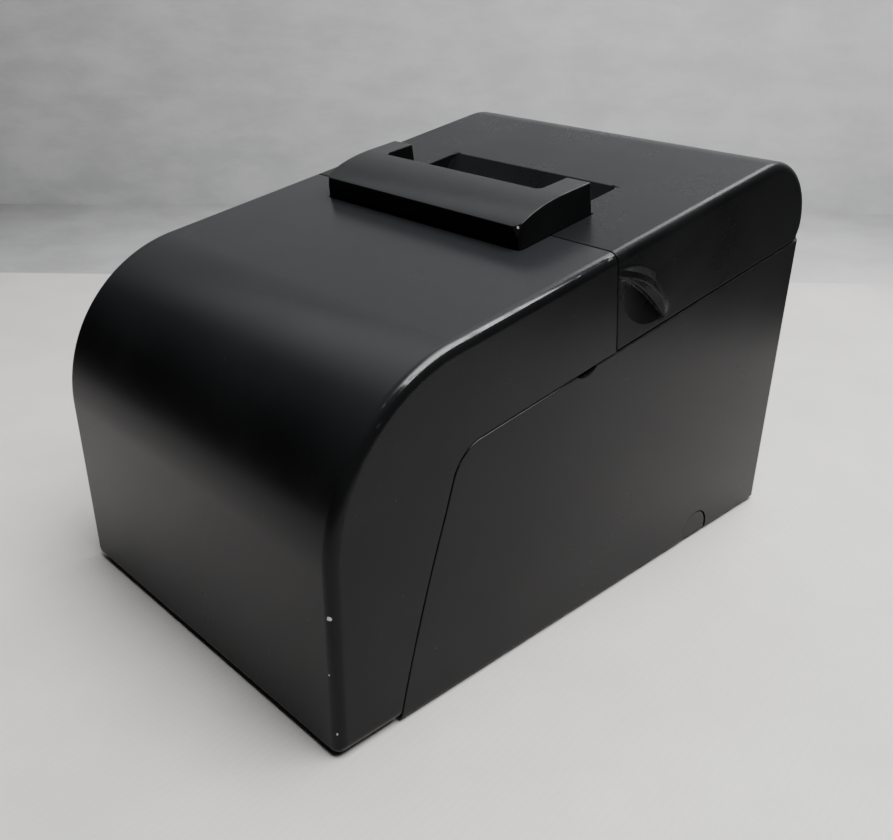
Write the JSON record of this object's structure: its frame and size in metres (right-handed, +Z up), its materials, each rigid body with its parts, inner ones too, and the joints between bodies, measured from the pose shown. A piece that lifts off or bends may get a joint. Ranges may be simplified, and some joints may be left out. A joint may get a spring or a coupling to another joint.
{
  "type": "receipt printer",
  "caption": "Black desktop receipt printer with a rounded front, hinged front and rear covers, a raised hood over the paper cutter and a paper exit pocket.",
  "frame": {"origin": "on the table, under the middle of the printer's bounding box", "axes": "+Z up, -Y towards the rounded front, +Y towards the connectors at the back, +X towards the side with no controls"},
  "size_m": [0.1654, 0.241, 0.1533],
  "materials": {
    "case_black": "satin moulded ABS, fine texture",
    "inner_black": "matt moulded plastic",
    "jack_plastic": "matt moulded connector plastic",
    "connector_shell": "plated steel shell",
    "control_grey": "satin grey plastic",
    "rubber": "matt rubber",
    "belt_rubber": "matt rubber belt",
    "label": "blank printed-film label",
    "zinc_steel": "zinc-plated sheet",
    "polished_steel": "ground and polished",
    "gear_nylon": "natural nylon",
    "motor_can": "dull metal can",
    "board": "solder-masked laminate",
    "ribbon_case": "satin plastic",
    "green_lens": "clear green lens",
    "amber_lens": "clear amber lens"
  },
  "bodies": {
    "root": {"base_housing": "case_black", "cable_knockout_left": "case_black", "cable_knockout_right": "case_black", "carriage_belt": "belt_rubber", "carriage_motor": "motor_can", "carriage_rail": "zinc_steel", "carriage_shaft": "polished_steel", "chassis_floor": "zinc_steel", "chassis_plate_left": "zinc_steel", "chassis_plate_right": "zinc_steel", "chassis_screw_1": "zinc_steel", "chassis_screw_2": "zinc_steel", "chassis_screw_3": "zinc_steel", "chassis_screw_4": "zinc_steel", "connector_tray": "inner_black", "cutter_frame": "zinc_steel", "cutter_hood": "case_black", "cutter_motor": "motor_can", "drawer_jack": "jack_plastic", "error_lamp": "amber_lens", "feed_idler_stud": "polished_steel", "feed_motor": "motor_can", "fixed_blade": "polished_steel", "front_hinge_pin_left": "polished_steel", "front_hinge_pin_right": "polished_steel", "idler_post": "polished_steel", "interface_port": "connector_shell", "main_board": "board", "paper_guide": "zinc_steel", "paper_out_lamp": "amber_lens", "platen": "zinc_steel", "power_inlet": "jack_plastic", "power_lamp": "green_lens", "power_switch_bezel": "inner_black", "rating_label": "label", "rear_hinge_pin_left": "polished_steel", "rear_hinge_pin_right": "polished_steel", "ribbon_cartridge": "ribbon_case", "roll_bin": "inner_black", "rubber_foot_front_left": "rubber", "rubber_foot_front_right": "rubber", "rubber_foot_rear_left": "rubber", "rubber_foot_rear_right": "rubber"},
    "front_cover": {"front_cover": "case_black"},
    "rear_cover": {"rear_cover": "case_black"},
    "power_rocker": {"power_rocker": "control_grey"},
    "feed_button": {"feed_button": "control_grey"},
    "print_head_carriage": {"print_head_carriage": "inner_black"},
    "drive_pulley": {"drive_pulley": "gear_nylon"},
    "idler_pulley": {"idler_pulley": "gear_nylon"},
    "moving_blade": {"moving_blade": "polished_steel"},
    "feed_roller": {"feed_roller": "rubber", "feed_roller_gear": "gear_nylon"},
    "pinch_roller": {"pinch_roller": "rubber"},
    "feed_idler_gear": {"feed_idler_gear": "gear_nylon"},
    "feed_motor_pinion": {"feed_motor_pinion": "gear_nylon"},
    "ribbon_knob": {"ribbon_knob": "control_grey"}
  },
  "joints": [
    {"name": "front_cover_hinge", "type": "hinge", "parent": "root", "child": "front_cover", "pos_m": [0, -0.11455, 0.0085], "axis": [1, 0, 0], "range_deg": [0, 85]},
    {"name": "rear_cover_hinge", "type": "hinge", "parent": "root", "child": "rear_cover", "pos_m": [0, 0.1184, 0.1222], "axis": [-1, 0, 0], "range_deg": [0, 88]},
    {"name": "power_rocker_hinge", "type": "hinge", "parent": "root", "child": "power_rocker", "pos_m": [-0.075, -0.04, 0.034], "axis": [0, 1, 0], "range_deg": [0, 10]},
    {"name": "feed_button_slide", "type": "slide", "parent": "root", "child": "feed_button", "axis": [1, 0, 0], "range_m": [0, 0.0012], "stiffness_N_per_m": 300},
    {"name": "carriage_slide", "type": "slide", "parent": "root", "child": "print_head_carriage", "axis": [1, 0, 0], "range_m": [-0.034, 0.034]},
    {"name": "drive_pulley_spin", "type": "hinge", "parent": "root", "child": "drive_pulley", "pos_m": [0.046, -0.066, 0.066], "axis": [0, 0, 1], "range_deg": [-352, 352]},
    {"name": "idler_pulley_spin", "type": "hinge", "parent": "root", "child": "idler_pulley", "pos_m": [-0.046, -0.066, 0.066], "axis": [0, 0, 1], "range_deg": [-352, 352]},
    {"name": "moving_blade_slide", "type": "slide", "parent": "root", "child": "moving_blade", "axis": [0, 1, 0], "range_m": [0, 0.008]},
    {"name": "feed_roller_spin", "type": "hinge", "parent": "root", "child": "feed_roller", "pos_m": [0, -0.005, 0.092], "axis": [1, 0, 0], "continuous": true},
    {"name": "pinch_roller_spin", "type": "hinge", "parent": "root", "child": "pinch_roller", "pos_m": [0, -0.0165, 0.092], "axis": [1, 0, 0], "continuous": true},
    {"name": "feed_idler_spin", "type": "hinge", "parent": "root", "child": "feed_idler_gear", "pos_m": [-0.0625, -0.005, 0.072], "axis": [1, 0, 0], "continuous": true},
    {"name": "feed_pinion_spin", "type": "hinge", "parent": "root", "child": "feed_motor_pinion", "pos_m": [-0.0625, -0.005, 0.054], "axis": [1, 0, 0], "continuous": true},
    {"name": "ribbon_knob_spin", "type": "hinge", "parent": "root", "child": "ribbon_knob", "pos_m": [0.036, -0.066, 0.1075], "axis": [0, 0, 1], "continuous": true}
  ],
  "couplings": [
    {"joint": "drive_pulley_spin", "follows": "carriage_slide", "rad_per_m": -178.57},
    {"joint": "idler_pulley_spin", "follows": "carriage_slide", "rad_per_m": -178.57},
    {"joint": "pinch_roller_spin", "follows": "feed_roller_spin", "ratio": -0.83333},
    {"joint": "feed_idler_spin", "follows": "feed_roller_spin", "ratio": -0.66667},
    {"joint": "feed_pinion_spin", "follows": "feed_roller_spin", "ratio": 1.3333}
  ]
}
